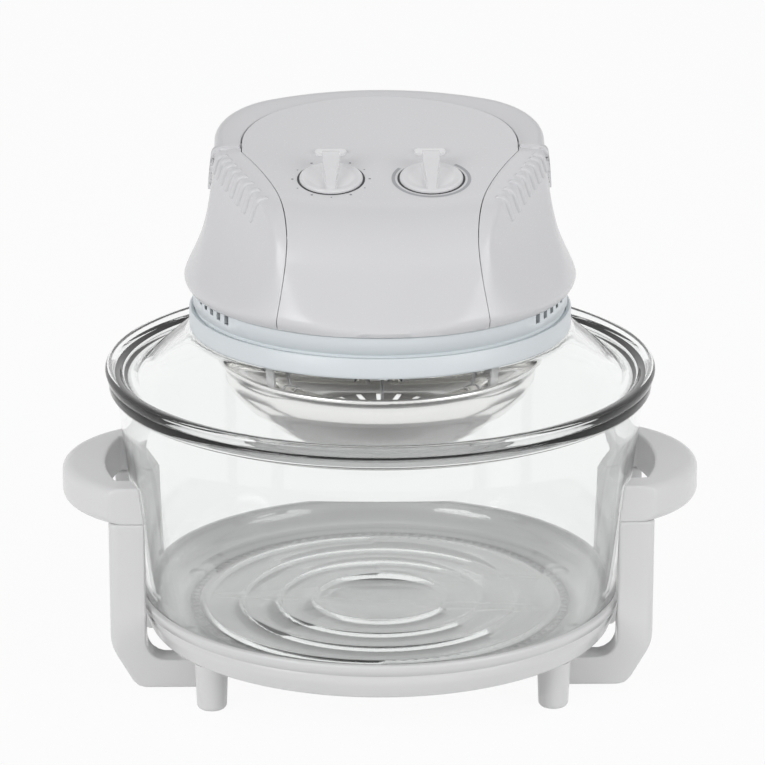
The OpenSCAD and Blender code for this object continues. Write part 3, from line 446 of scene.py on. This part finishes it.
# A shoulder across its ridge: the roof towards the middle, the round ridge and the leaning wall
def shoulderLevel(outward, rise):
    lean, roof, ridgeRound = headForm["wallLean"], headForm["roofLean"], headForm["ridgeRound"]
    drop = np.clip(-rise, 0, None)
    wall = drop * math.tan(lean) + headForm["wallSweep"] * drop ** 3
    wallLevel = (outward - wall) * math.cos(lean)
    across = outward + ridgeRound * math.tan((math.pi / 2 - lean) / 2)
    up = rise + ridgeRound
    roofLevel = up * math.cos(roof) + across * math.sin(roof) - ridgeRound
    angle = np.arctan2(up, across)
    onRidge = (angle > lean) & (angle < math.pi / 2 - roof)
    return np.where(onRidge, np.hypot(across, up) - ridgeRound, np.maximum(roofLevel, wallLevel))


def headLevel(places):
    across, along, rise = tiltedPlace(places)
    turn = headForm["ridgeTurn"]
    over = np.clip(places[:, 2] - headForm["bulge"], -8, None)
    backReach = headForm["back"] + headForm["backFlare"] * np.exp(-over / headForm["backReach"])
    levels = [bellLevel(places), frontLevel(across, along, rise)]
    levels.append(np.hypot(places[:, 0], places[:, 1] + headForm["backAxis"]) - backReach)
    for side in (-1, 1):
        outward = (side * across - headForm["ridge"]) * math.cos(turn) - along * math.sin(turn)
        levels.append(shoulderLevel(outward, rise))
    stack = np.stack(levels) / headForm["blend"]
    most = stack.max(axis=0)
    return headForm["blend"] * (most + np.log(np.exp(stack - most).sum(axis=0)))


def worldPlace(across, along, rise):
    cosine, sine = math.cos(headForm["tilt"]), math.sin(headForm["tilt"])
    across, along, rise = np.broadcast_arrays(across, along, rise)
    turned, height = along * cosine - rise * sine, headForm["top"] + along * sine + rise * cosine
    return np.stack([across, turned, height], axis=-1)


# Goes outward along a path until it meets the skin, or the given level over it
def meetSkin(placeOf, shape, level=0.0, reach=190.0):
    near, beyond = np.zeros(shape), np.full(shape, reach)
    for halving in range(34):
        middle = (near + beyond) / 2
        outside = headLevel(placeOf(middle).reshape(-1, 3)).reshape(shape) > level
        beyond = np.where(outside, middle, beyond)
        near = np.where(outside, near, middle)
    return placeOf(near)


# A grid whose vertices go to the given places (rows, columns, 3), in millimetres
def gridShape(places, wraps=False):
    rows, columns = places.shape[:2]
    shape = bmesh.new()
    bmesh.ops.create_grid(shape, x_segments=columns - 1, y_segments=rows - 1, size=0.5)
    for vertex in shape.verts:
        row, column = round((vertex.co.y + 0.5) * (rows - 1)), round((vertex.co.x + 0.5) * (columns - 1))
        vertex.co = Vector(places[row, column]) * mm
    bmesh.ops.remove_doubles(shape, verts=shape.verts, dist=0.01 * mm)
    if wraps:
        bmesh.ops.recalc_face_normals(shape, faces=shape.faces)
    return shape


headMiddle = (0, 0, 270)        # a place inside the head, which its outer faces look away from


def cutShape(shape, place, normal):
    geometry = shape.verts[:] + shape.edges[:] + shape.faces[:]
    bmesh.ops.bisect_plane(shape, geom=geometry, plane_co=Vector(place) * mm, plane_no=normal, clear_outer=True)


# Turns an open sheet so that its faces look away from a place inside
def faceAway(shape, inside):
    shape.normal_update()
    middle = Vector(inside) * mm
    facing = sum((face.calc_center_median() - middle).dot(face.normal) * face.calc_area()
                 for face in shape.faces)
    if facing < 0:
        bmesh.ops.reverse_faces(shape, faces=shape.faces)


def thicken(piece, thickness, edgeRound):
    wall = piece.modifiers.new("wall", "SOLIDIFY")
    wall.thickness = thickness * mm
    wall.offset = -1
    edge = piece.modifiers.new("edge", "BEVEL")
    edge.width = edgeRound * mm
    edge.segments = 2
    edge.limit_method = "ANGLE"
    edge.angle_limit = math.radians(50)


# Joins pieces whose faces look away from the same place
def joinShapes(shapes, inside):
    joined = bmesh.new()
    for shape in shapes:
        mesh = bpy.data.meshes.new("part")
        faceAway(shape, inside)
        shape.to_mesh(mesh)
        shape.free()
        joined.from_mesh(mesh)
        bpy.data.meshes.remove(mesh)
    return joined


# A fine even skin over the solid, eased so that its edges are rounded as in a mould
def softened(shape, voxel, rounds, strength=0.5):
    mesh = bpy.data.meshes.new("skin")
    shape.to_mesh(mesh)
    shape.free()
    work = bpy.data.objects.new("skin", mesh)
    scene.collection.objects.link(work)
    remesh = work.modifiers.new("even", "REMESH")
    remesh.mode = "VOXEL"
    remesh.voxel_size = voxel
    ease = work.modifiers.new("ease", "SMOOTH")
    ease.factor = strength
    ease.iterations = rounds
    done = bpy.data.meshes.new_from_object(work.evaluated_get(bpy.context.evaluated_depsgraph_get()))
    bpy.data.objects.remove(work)
    result = bmesh.new()
    result.from_mesh(done)
    return result


# Voxel size in millimetres and rounds of easing
softPieces = {
    "left_grip": (0.8, 8), "right_grip": (0.8, 8),
    "front_left_bracket": (0.8, 6), "rear_left_bracket": (0.8, 6),
    "front_right_bracket": (0.8, 6), "rear_right_bracket": (0.8, 6),
}


def pieceName(nodeName):
    words = nodeName.split("_")
    return words[0] + "".join(word.capitalize() for word in words[1:]) + "Skin"


# Outlines of the cover and the safety handle in the tilted frame
outline = {
    "coverSide": 81.7, "coverCorner": 47.4, "coverBack": 115.5, "coverBackAlong": 67.5,
    "waistAlong": -86.0, "waistWidth": 54.9, "waistPower": 1.77,
    "waistFoot": 5.3, "footReach": 25, "footPower": 1.5,
    "handleSide": 98.4, "handleCorner": 50.5, "handleBack": 182.5, "handleBackAlong": 84.2,
    "pivot": (12.5, -4.5), "hub": 9.5, "handleDepth": 14.0, "handleEdge": 6,
    "seam": 0.55, "slot": (1.5, 0.5),       # gap of the handle beside the cover, at the pivot and at the back
    "rimHeight": 239.7, "rearHalf": 38.0,
}


def coverWidth(along):
    waist, width = outline["waistAlong"], outline["waistWidth"]
    above = np.clip((along - waist) / -waist, 0, None) ** outline["waistPower"]
    below = np.clip((waist - along) / outline["footReach"], 0, None) ** outline["footPower"]
    return width + (outline["coverSide"] - width) * above + outline["waistFoot"] * below


# Side, corner and back of an outline: centres and turn of its arcs
def arcsOf(side, corner, back, backAlong):
    cornerAcross, backCentre = side - corner, backAlong - back
    rise = math.sqrt((back - corner) ** 2 - cornerAcross ** 2)
    return cornerAcross, backCentre + rise, backCentre, math.atan2(rise, cornerAcross)


# part 0 to 1 goes along the side, 1 to 2 round the corner, 2 to 3 along the back to the middle
def outlinePlace(kind, part, grow=0.0):
    side, corner, back = outline[kind + "Side"], outline[kind + "Corner"], outline[kind + "Back"]
    cornerAcross, cornerAlong, backCentre, turn = arcsOf(side, corner, back, outline[kind + "BackAlong"])
    start = outline["pivot"][0] - outline["hub"]
    angle = np.where(part < 2, turn * np.clip(part - 1, 0, 1), turn + (math.pi / 2 - turn) * (part - 2))
    corner, back = corner + grow, back + grow
    onCorner = np.stack([cornerAcross + corner * np.cos(angle), cornerAlong + corner * np.sin(angle)])
    onBack = np.stack([back * np.cos(angle), backCentre + back * np.sin(angle)])
    onSide = np.stack([np.full_like(part, side + grow), start + (cornerAlong - start) * np.clip(part, 0, 1)])
    return np.where(part < 1, onSide, np.where(part < 2, onCorner, onBack))


# The same outline on the other side too, in one line
def mirrored(line):
    return np.concatenate([line, line[:, -2::-1] * np.array([[-1], [1]])], axis=1)


def backEdge(across):
    cornerAcross, cornerAlong, backCentre, turn = arcsOf(outline["coverSide"], outline["coverCorner"],
                                                         outline["coverBack"], outline["coverBackAlong"])
    change = cornerAcross + outline["coverCorner"] * math.cos(turn)
    across = np.abs(across)
    onBack = backCentre + np.sqrt(np.clip(outline["coverBack"] ** 2 - across ** 2, 0, None))
    inCorner = np.clip(outline["coverCorner"] ** 2 - (across - cornerAcross) ** 2, 0, None)
    return np.where(across < change, onBack, cornerAlong + np.sqrt(inCorner))


# Front rays start inside the roll and turn from straight up to below the front edge
frontRays = {"along": -40.0, "rise": -60.0, "from": math.pi / 2, "to": math.radians(238), "count": 84}


def frontColumn(widthOf, shape, angles):
    def placeOf(distance):
        along = frontRays["along"] + distance * np.cos(angles)
        rise = frontRays["rise"] + distance * np.sin(angles)
        return worldPlace(widthOf(along), along, rise)
    return meetSkin(placeOf, shape)


def topPlaces(across, along, below=60, reach=90, lift=0.0):
    def placeOf(distance):
        return worldPlace(across, along, distance - below)
    return meetSkin(placeOf, np.broadcast(across, along).shape, lift, reach)


coverSkin = {"wall": 2.2, "edge": 0.55, "columns": 97, "backRows": 26, "middleRows": 16}


def makeCover():
    fractions = np.sin(np.linspace(-1, 1, coverSkin["columns"]) * math.pi / 2)[None, :]
    across = fractions * outline["coverSide"]
    shares = np.sin(np.linspace(1, 0, coverSkin["backRows"]) * math.pi / 2)[:, None]
    back = topPlaces(across, shares * backEdge(across))
    along = np.linspace(0, frontRays["along"], coverSkin["middleRows"])[1:, None]
    middle = topPlaces(fractions * coverWidth(along), along)
    angles = np.linspace(frontRays["from"], frontRays["to"], frontRays["count"])[1:, None]

    def widthOf(along):
        return fractions * coverWidth(along)
    front = frontColumn(widthOf, (len(angles), fractions.shape[1]), angles)
    shape = gridShape(np.concatenate([back, middle, front]))
    cutShape(shape, (0, 0, outline["rimHeight"]), (0, 0, -1))
    faceAway(shape, headMiddle)
    cover = finishPiece(shape, "controlCoverSkin", "control_cover", sharpAngle=60)
    thicken(cover, coverSkin["wall"], coverSkin["edge"])


def pathThrough(places, count):
    steps = np.linalg.norm(np.diff(places, axis=0), axis=1)
    length = np.concatenate([[0], np.cumsum(steps)])
    even = np.linspace(0, length[-1], count)
    return np.stack([np.interp(even, length, places[:, axis]) for axis in range(3)], axis=1)


shellSkin = {"wall": 2.2, "edge": 0.45, "columns": 260, "rows": 70, "clear": 0.4}


# The line on the skin that lies the given depth under the top face
def underLine(bearings, depth):
    def placeOf(distance):
        return worldPlace(distance * np.cos(bearings), distance * np.sin(bearings), -depth)
    return meetSkin(placeOf, bearings.shape)


# Upper edge of a side shell: the seam from the rim up, round the handle's hub and back under the handle
def shellEdge():
    angles = np.linspace(frontRays["to"], frontRays["from"], 90)

    def widthOf(along):
        return coverWidth(along) + outline["seam"]
    seamSide = frontColumn(widthOf, angles.shape, angles)
    seamSide = seamSide[seamSide[:, 2] > outline["rimHeight"]]
    hubAlong, hubRise = outline["pivot"]
    hub, depth = outline["hub"] + shellSkin["clear"], outline["handleDepth"] + shellSkin["clear"]
    along = np.linspace(frontRays["along"], hubAlong - math.sqrt(hub ** 2 - hubRise ** 2) - 0.1, 26)[1:]
    seamTop = topPlaces(widthOf(np.minimum(along, 0)), along)
    turns = np.linspace(math.pi / 2, 0, 50)

    def hubPlace(distance):
        rise = distance * np.sin(turns) - depth
        return worldPlace(outline["coverSide"] + outline["seam"] + distance * np.cos(turns),
                          hubAlong - np.sqrt(np.clip(hub ** 2 - (rise - hubRise) ** 2, 0, None)), rise)
    roundHub = meetSkin(hubPlace, turns.shape, reach=40)
    bearings = np.linspace(math.atan2(hubAlong, 100), math.radians(76), 90)
    return np.concatenate([seamSide, seamTop, roundHub, underLine(bearings, depth)])


def rimPlaces(bearings):
    def placeOf(distance):
        return np.stack([distance * np.cos(bearings), distance * np.sin(bearings),
                         np.full_like(distance, outline["rimHeight"])], axis=-1)
    return meetSkin(placeOf, bearings.shape)


def sheetBetween(upper, lower, rows):
    centre = np.array([0.0, 0.0, 262.0])
    share = np.linspace(0, 1, rows)[:, None, None]
    aim = upper[None] * (1 - share) + lower[None] * share - centre
    aim /= np.linalg.norm(aim, axis=2, keepdims=True)
    return meetSkin(lambda distance: centre + aim * distance[..., None], aim.shape[:2])


def makeShell(side, nodeName):
    upper = pathThrough(shellEdge(), shellSkin["columns"])
    first, last = (math.atan2(place[1], place[0]) for place in (upper[0], upper[-1]))
    bearings = np.linspace(first, last, len(upper))
    places = sheetBetween(upper, rimPlaces(bearings), shellSkin["rows"])
    places[0] = upper
    places[..., 0] *= side
    shape = gridShape(places)
    cutShape(shape, (side * (outline["rearHalf"] + outline["seam"]), 0, 0), (-side, 0, 0))
    faceAway(shape, headMiddle)
    shell = finishPiece(shape, pieceName(nodeName), nodeName, sharpAngle=60)
    thicken(shell, shellSkin["wall"], shellSkin["edge"])


rearSkin = {"wall": 2.2, "edge": 0.45, "bearings": (60, 120), "columns": 70, "rows": 60}


def makeRear():
    bearings = np.radians(np.linspace(*rearSkin["bearings"], rearSkin["columns"]))
    upper = underLine(bearings, outline["handleDepth"] + shellSkin["clear"])
    shape = gridShape(sheetBetween(upper, rimPlaces(bearings), rearSkin["rows"]))
    for side in (-1, 1):
        cutShape(shape, (side * outline["rearHalf"], 0, 0), (side, 0, 0))
    faceAway(shape, headMiddle)
    rear = finishPiece(shape, "rearCoverSkin", "rear_cover", sharpAngle=60)
    thicken(rear, rearSkin["wall"], rearSkin["edge"])


# Steps along one half of the handle, close together at its round end
def handlePath():
    start = outline["pivot"][0] - outline["hub"]
    cornerAlong = arcsOf(outline["handleSide"], outline["handleCorner"],
                         outline["handleBack"], outline["handleBackAlong"])[1]
    roundEnd = (outline["hub"] * (1 - np.cos(np.linspace(0, math.pi / 2, 12)))) / (cornerAlong - start)
    return np.concatenate([roundEnd, np.linspace(roundEnd[-1], 1, 8)[1:], np.linspace(1, 2, 30)[1:],
                           np.linspace(2, 3, 34)[1:]])


def makeHandle():
    half = handlePath()
    wide, narrow = outline["slot"]
    gap = wide + (narrow - wide) * np.clip(half / 3, 0, 1)
    outer, inner = outlinePlace("handle", half), outlinePlace("cover", half)
    inward = outer - inner
    inner = inner + inward / np.linalg.norm(inward, axis=0) * gap
    inner[1, 0] = outer[1, 0]
    outer, inner = mirrored(outer), mirrored(inner)
    width = np.linalg.norm(outer - inner, axis=0)
    depth = outline["handleDepth"]
    curve = np.radians(np.linspace(12, 84, 7))
    zero = np.zeros_like(width)
    # Distance from the inner side and rise, round the section
    section = [(zero + 0.6, -depth), (width - 3.4, -depth), (width - 1.6, 0.8 - depth),
               (width - 0.6, 2.8 - depth), (width - 0.1, 5.5 - depth), (width, -6.6)]
    edge = outline["handleEdge"]
    section += [(width - edge + edge * math.cos(angle), -edge + edge * math.sin(angle)) for angle in curve]
    section += [(width - 7, 0.0), (zero + 0.9, 0.0), (zero + 0.3, -0.25), (zero, -0.9), (zero, 0.9 - depth),
                (zero + 0.2, 0.25 - depth), (zero + 0.6, -depth)]
    hubAlong, hubRise = outline["pivot"]
    rows = []
    for offset, rise in section:
        share = np.clip(offset / width, 0, 1)
        place = inner + (outer - inner) * share
        ahead = np.clip(hubAlong - place[1], 0, None)
        endRound = np.sqrt(np.clip(outline["hub"] ** 2 - ahead ** 2, 0, None))
        rise = np.clip(rise, hubRise - endRound, hubRise + endRound)
        rows.append(worldPlace(place[0], place[1], rise))
    shape = gridShape(np.stack(rows), wraps=True)
    finishPiece(shape, "safetyHandleSkin", "safety_handle", sharpAngle=50)


ledge = {"floorIn": -1.2, "floorOut": -2.6, "under": 0.5, "floorWall": 1.6, "floorEdge": 0.3,
         "skirtIn": -1.1, "skirtRise": (-0.9, -18), "skirtWall": 1.8, "skirtEdge": 0.2}


# Floor under the handle and the cover's skirt beside it
def makeLedge():
    half = np.linspace(0.25, 3, 90)
    inner = outlinePlace("cover", half, ledge["floorIn"])
    outer = outlinePlace("handle", half, ledge["floorOut"])
    share = np.linspace(0, 1, 5)[:, None]
    across, along = (inner[axis] * (1 - share) + outer[axis] * share for axis in (0, 1))
    depth = outline["handleDepth"] + ledge["under"]
    for side in (-1, 1):
        floor = gridShape(worldPlace(side * across, along, -depth))
        faceAway(floor, (0, 0, 240))
        name, nodeName = ("handleFloorLeft", "left_shell") if side < 0 else ("handleFloorRight", "right_shell")
        piece = finishPiece(floor, name, nodeName, stands=False)
        thicken(piece, ledge["floorWall"], ledge["floorEdge"])
    around = np.linspace(0, 3, 120)
    line = mirrored(outlinePlace("cover", around, ledge["skirtIn"]))
    drops = np.linspace(*ledge["skirtRise"], 8)[:, None]
    skirt = gridShape(worldPlace(line[0][None, :], line[1][None, :], drops))
    faceAway(skirt, (0, 0, 300))
    piece = finishPiece(skirt, "coverSkirt", "control_cover", stands=False)
    thicken(piece, ledge["skirtWall"], ledge["skirtEdge"])


# Ribs over each shoulder: crowned across, steeper on the side towards the front
shoulderRibs = {
    "count": 8, "first": 5.7, "step": 5.2, "spread": 0.32, "wide": 3.3, "high": 1.25, "sunk": 0.5,
    "inward": 5.2, "ridge": 97.1, "drop": 13.0, "dropStep": 0.5,
    "centreIn": 12, "centreRise": -14.0, "lastOut": 14.5,       # the ribs turn about this line in the shoulder
    "across": (-1, -0.9, -0.72, -0.4, 0, 0.35, 0.6, 0.85, 1.0), "rows": 34,
    "endShare": 0.07, "sideShare": 0.28, "wall": 0.6,
}


def ribShape(side, index):
    ribs = shoulderRibs
    along = -ribs["first"] - index * ribs["step"] - index ** 2 * ribs["spread"]
    ridge = ribs["ridge"] + along * math.tan(headForm["ridgeTurn"])
    drop = ribs["drop"] + ribs["dropStep"] * index
    across = np.array(ribs["across"])[None, :]
    centreAcross, centreRise = ridge - ribs["centreIn"], ribs["centreRise"]
    first = math.atan2(-centreRise, ridge - ribs["inward"] - centreAcross)
    last = math.atan2(-drop - centreRise, ribs["lastOut"])
    share = np.linspace(0, 1, ribs["rows"])[:, None]
    turns = first + (last - first) * share
    # Height over the skin: flat in the middle, down below the skin at the border
    ends = np.clip(np.minimum(share, 1 - share) / ribs["endShare"], 0, 1)
    sides = np.clip((1 - np.abs(across)) / ribs["sideShare"], 0, 1)
    height = (ribs["high"] + ribs["sunk"]) * (ends * (2 - ends)) * (sides * (2 - sides)) - ribs["sunk"]
    where = along + ribs["wide"] * (across + 1) / 2
    start = centreAcross + (where - along) * math.tan(headForm["ridgeTurn"])

    def placeOf(distance):
        return worldPlace(start + distance * np.cos(turns), where, centreRise + distance * np.sin(turns))
    places = meetSkin(placeOf, height.shape, height, reach=40.0)
    places[..., 0] *= side
    return gridShape(places)


def makeRibs(side, nodeName):
    group = joinShapes([ribShape(side, index) for index in range(shoulderRibs["count"])], headMiddle)
    name = "leftRibs" if side < 0 else "rightRibs"
    ribs = finishPiece(group, name, nodeName, stands=False, sharpAngle=60)
    wall = ribs.modifiers.new("wall", "SOLIDIFY")
    wall.thickness = shoulderRibs["wall"] * mm
    wall.offset = -1


makeCover()
for side, shellNode in ((-1, "left_shell"), (1, "right_shell")):
    makeShell(side, shellNode)
    makeRibs(side, shellNode)
makeRear()
makeHandle()
makeLedge()
print("head skins made")


def tiltedMatrix():
    return Matrix.Translation((0, 0, headForm["top"] * mm)) @ Matrix.Rotation(headForm["tilt"], 4, "X")


# Knobs are lowered and lenses shifted and enlarged against their nodes, as the photograph shows them
knobs = {"across": 29.3, "along": -34.8, "discTop": 1.5, "lower": 0.8, "voxel": 0.35, "rounds": 4}
lenses = {"along": 3.0, "shift": -5.8, "rise": 0.9, "grow": (1.14, 1.14 * 1.06), "voxel": 0.25, "rounds": 4}

for knobNode in ("timer_knob", "thermostat_knob"):
    knob = softened(copyOf(knobNode), knobs["voxel"] * mm, knobs["rounds"])
    knob.transform(tiltedMatrix().inverted())
    for vertex in knob.verts:
        above = vertex.co.z - knobs["discTop"] * mm
        if above > 0:
            vertex.co.z -= above * (1 - knobs["lower"])
    knob.transform(tiltedMatrix())
    finishPiece(knob, pieceName(knobNode), knobNode, sharpAngle=60)

for side, lensNode in ((-1, "power_lens"), (1, "heat_lens")):
    lens = softened(copyOf(lensNode), lenses["voxel"] * mm, lenses["rounds"])
    centre = Matrix.Translation((side * knobs["across"] * mm, lenses["along"] * mm, 0))
    move = Matrix.Translation((0, lenses["shift"] * mm, lenses["rise"] * mm))
    grow = Matrix.Diagonal((*lenses["grow"], 1, 1))
    inTilted = move @ centre @ grow @ centre.inverted()
    lens.transform(tiltedMatrix() @ inTilted @ tiltedMatrix().inverted())
    finishPiece(lens, pieceName(lensNode), lensNode, sharpAngle=60)
print("knobs and lenses made")


# Thin marks that lie on the top face: rings of painted shade where the gaps round the knobs would be, ticks and
# the heat band
marks = {
    # gap: inner and outer radius of the ring of painted shade round each knob
    "lift": 0.06, "middle": (0, 0, 200), "gap": (18.4, 19.9), "gapSteps": 97,
    "ticks": 11, "tickReach": 22.6, "tickSize": 0.42, "tickGrow": 1.5, "tickFrom": -240, "tickStep": 30,
    "band": (21.3, 23.3), "bandFrom": -215.0, "bandTo": 50.0, "bandSteps": 90,
}


def sheetOnTop(across, along):
    return gridShape(topPlaces(across, along, below=30, reach=60, lift=marks["lift"]))


def ringOnTop(side, inner, outer, first, last, steps, rows=3):
    turns = np.radians(np.linspace(first, last, steps))[None, :]
    share = np.linspace(0, 1, rows)[:, None]
    radius = inner + (outer - inner) * share
    across = side * knobs["across"] + radius * np.cos(turns)
    return sheetOnTop(across, knobs["along"] + radius * np.sin(turns))


def tickShape(index):
    turn = math.radians(marks["tickFrom"] + index * marks["tickStep"])
    across = -knobs["across"] + marks["tickReach"] * math.cos(turn)
    along = knobs["along"] + marks["tickReach"] * math.sin(turn)
    size = marks["tickSize"] * (marks["tickGrow"] if index % 2 == 0 else 1.0)
    span = np.linspace(-size, size, 3)
    return sheetOnTop(across + span[None, :], along + span[:, None])


# The knobs sit in no pocket: a near-black sheet on the top face paints the shade of the gap round each knob
paintedShadeRings = [ringOnTop(side, *marks["gap"], 0, 360, marks["gapSteps"]) for side in (-1, 1)]
ticks = [tickShape(index) for index in range(marks["ticks"])]
bandRing = ringOnTop(1, *marks["band"], marks["bandFrom"], marks["bandTo"], marks["bandSteps"])
markShapes = {"knobGaps": ("gapShade", paintedShadeRings), "timerTicks": ("dialInk", ticks),
              "heatBand": ("dialBand", [bandRing])}
for markName, (markFinish, shapes) in markShapes.items():
    finishPiece(joinShapes(shapes, marks["middle"]), markName, "control_cover", markFinish, stands=False)
print("marks made")

# Small departures from the nodes, as the photograph shows these pieces: the feet stand closer together across
# and farther apart along, the ring and base are larger, and the rings in the bowl's floor are lower
feetPlace = {"inward": 3.3, "outAlong": 4.0}
ringGrow = 1.0044
bowlFloor = {"height": 40.0, "ringTop": 6, "reach": 118.0, "lower": 0.85}


def fitToPhoto(shape, nodeName):
    if nodeName in ("feet", "foot_screws"):
        for vertex in shape.verts:
            vertex.co.x -= math.copysign(feetPlace["inward"] * mm, vertex.co.x)
            vertex.co.y += math.copysign(feetPlace["outAlong"] * mm, vertex.co.y)
    if nodeName in ("trim_ring", "head_base"):
        for vertex in shape.verts:
            vertex.co.xy *= ringGrow
    if nodeName == "glass_bowl":
        for vertex in shape.verts:
            rise = vertex.co.z / mm - bowlFloor["height"]
            if 0 < rise < bowlFloor["ringTop"] and vertex.co.xy.length < bowlFloor["reach"] * mm:
                vertex.co.z -= rise * bowlFloor["lower"] * mm
    return shape


for softNode, (voxelSize, rounds) in softPieces.items():
    skin = softened(copyOf(softNode), voxelSize * mm, rounds)
    finishPiece(skin, pieceName(softNode), softNode, sharpAngle=70)
    print("softened", softNode)

madeNodes = {"control_cover", "left_shell", "right_shell", "rear_cover", "safety_handle", "timer_knob",
             "thermostat_knob", "power_lens", "heat_lens"}
for plainNode in nodes:
    if plainNode not in softPieces and plainNode not in madeNodes:
        shape = fitToPhoto(copyOf(plainNode), plainNode)
        finishPiece(shape, pieceName(plainNode), plainNode, sharpAngle=30)
print("plain pieces finished")
